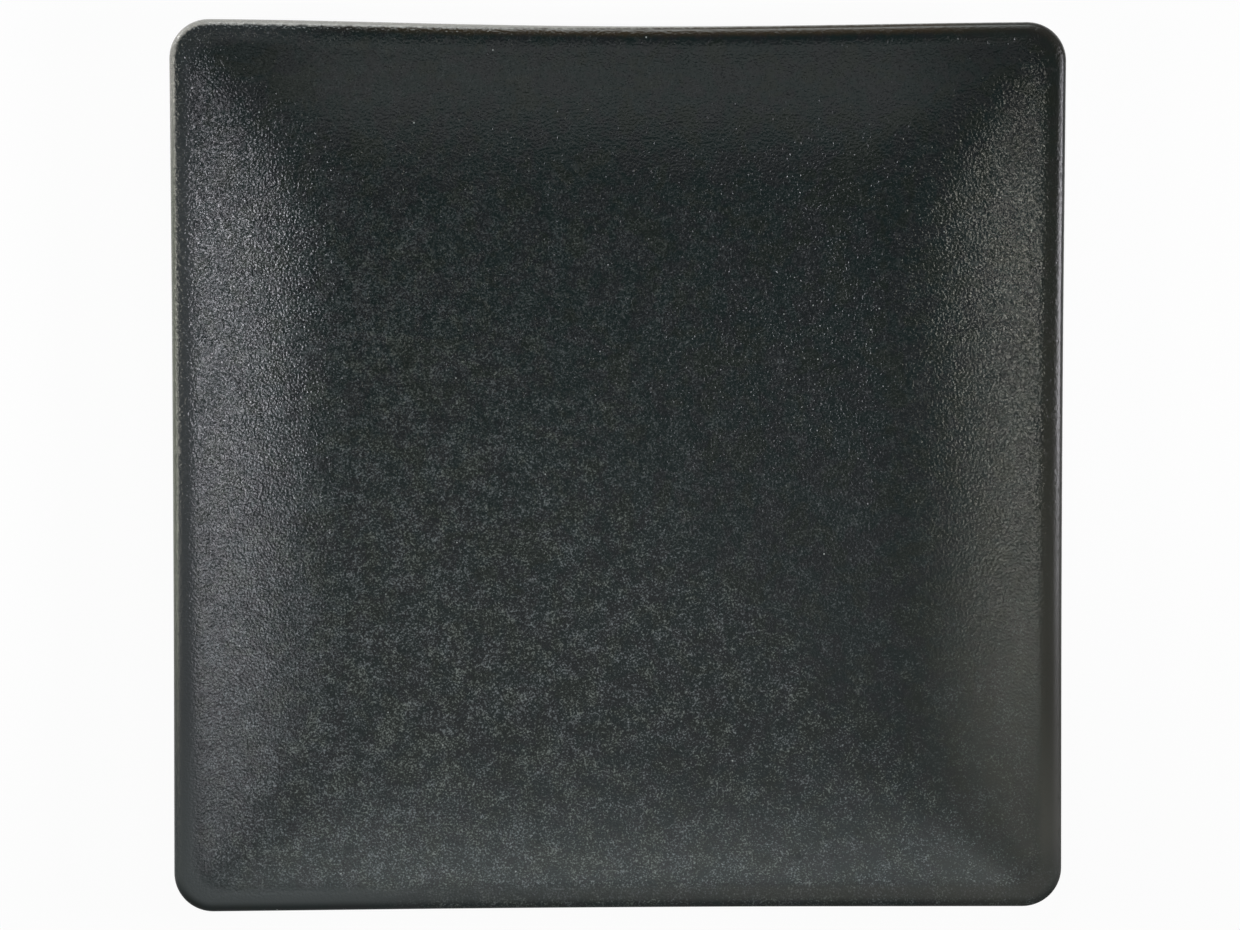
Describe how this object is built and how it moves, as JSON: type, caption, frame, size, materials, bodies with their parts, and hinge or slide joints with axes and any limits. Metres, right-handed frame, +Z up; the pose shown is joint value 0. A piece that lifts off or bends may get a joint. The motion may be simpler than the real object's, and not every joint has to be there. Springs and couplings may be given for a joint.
{
  "type": "square dinner plate",
  "caption": "Square stoneware dinner plate, coupe form, with mitred curved walls, rounded rim and square foot, in matte black glaze.",
  "frame": {"origin": "middle of the plate, on the surface that its foot stands on", "axes": "+Z up out of the well, X and Y along the plate's sides, with +Y to the top of the picture"},
  "size_m": [0.2598, 0.2598, 0.0273],
  "materials": {
    "stoneware_clay": "fired stoneware, unglazed inside the wall",
    "bare_foot_clay": "bare fired stoneware, ground flat and dry to the touch",
    "face_glaze": "matte iron-black glaze with a fine crystalline grain",
    "underside_glaze": "matte iron-black glaze, smoother than the face"
  },
  "bodies": {
    "root": {"clay_body": "stoneware_clay", "foot_ring": "bare_foot_clay", "face_glaze": "face_glaze", "underside_glaze": "underside_glaze", "foot_well_glaze": "underside_glaze"}
  },
  "joints": []
}
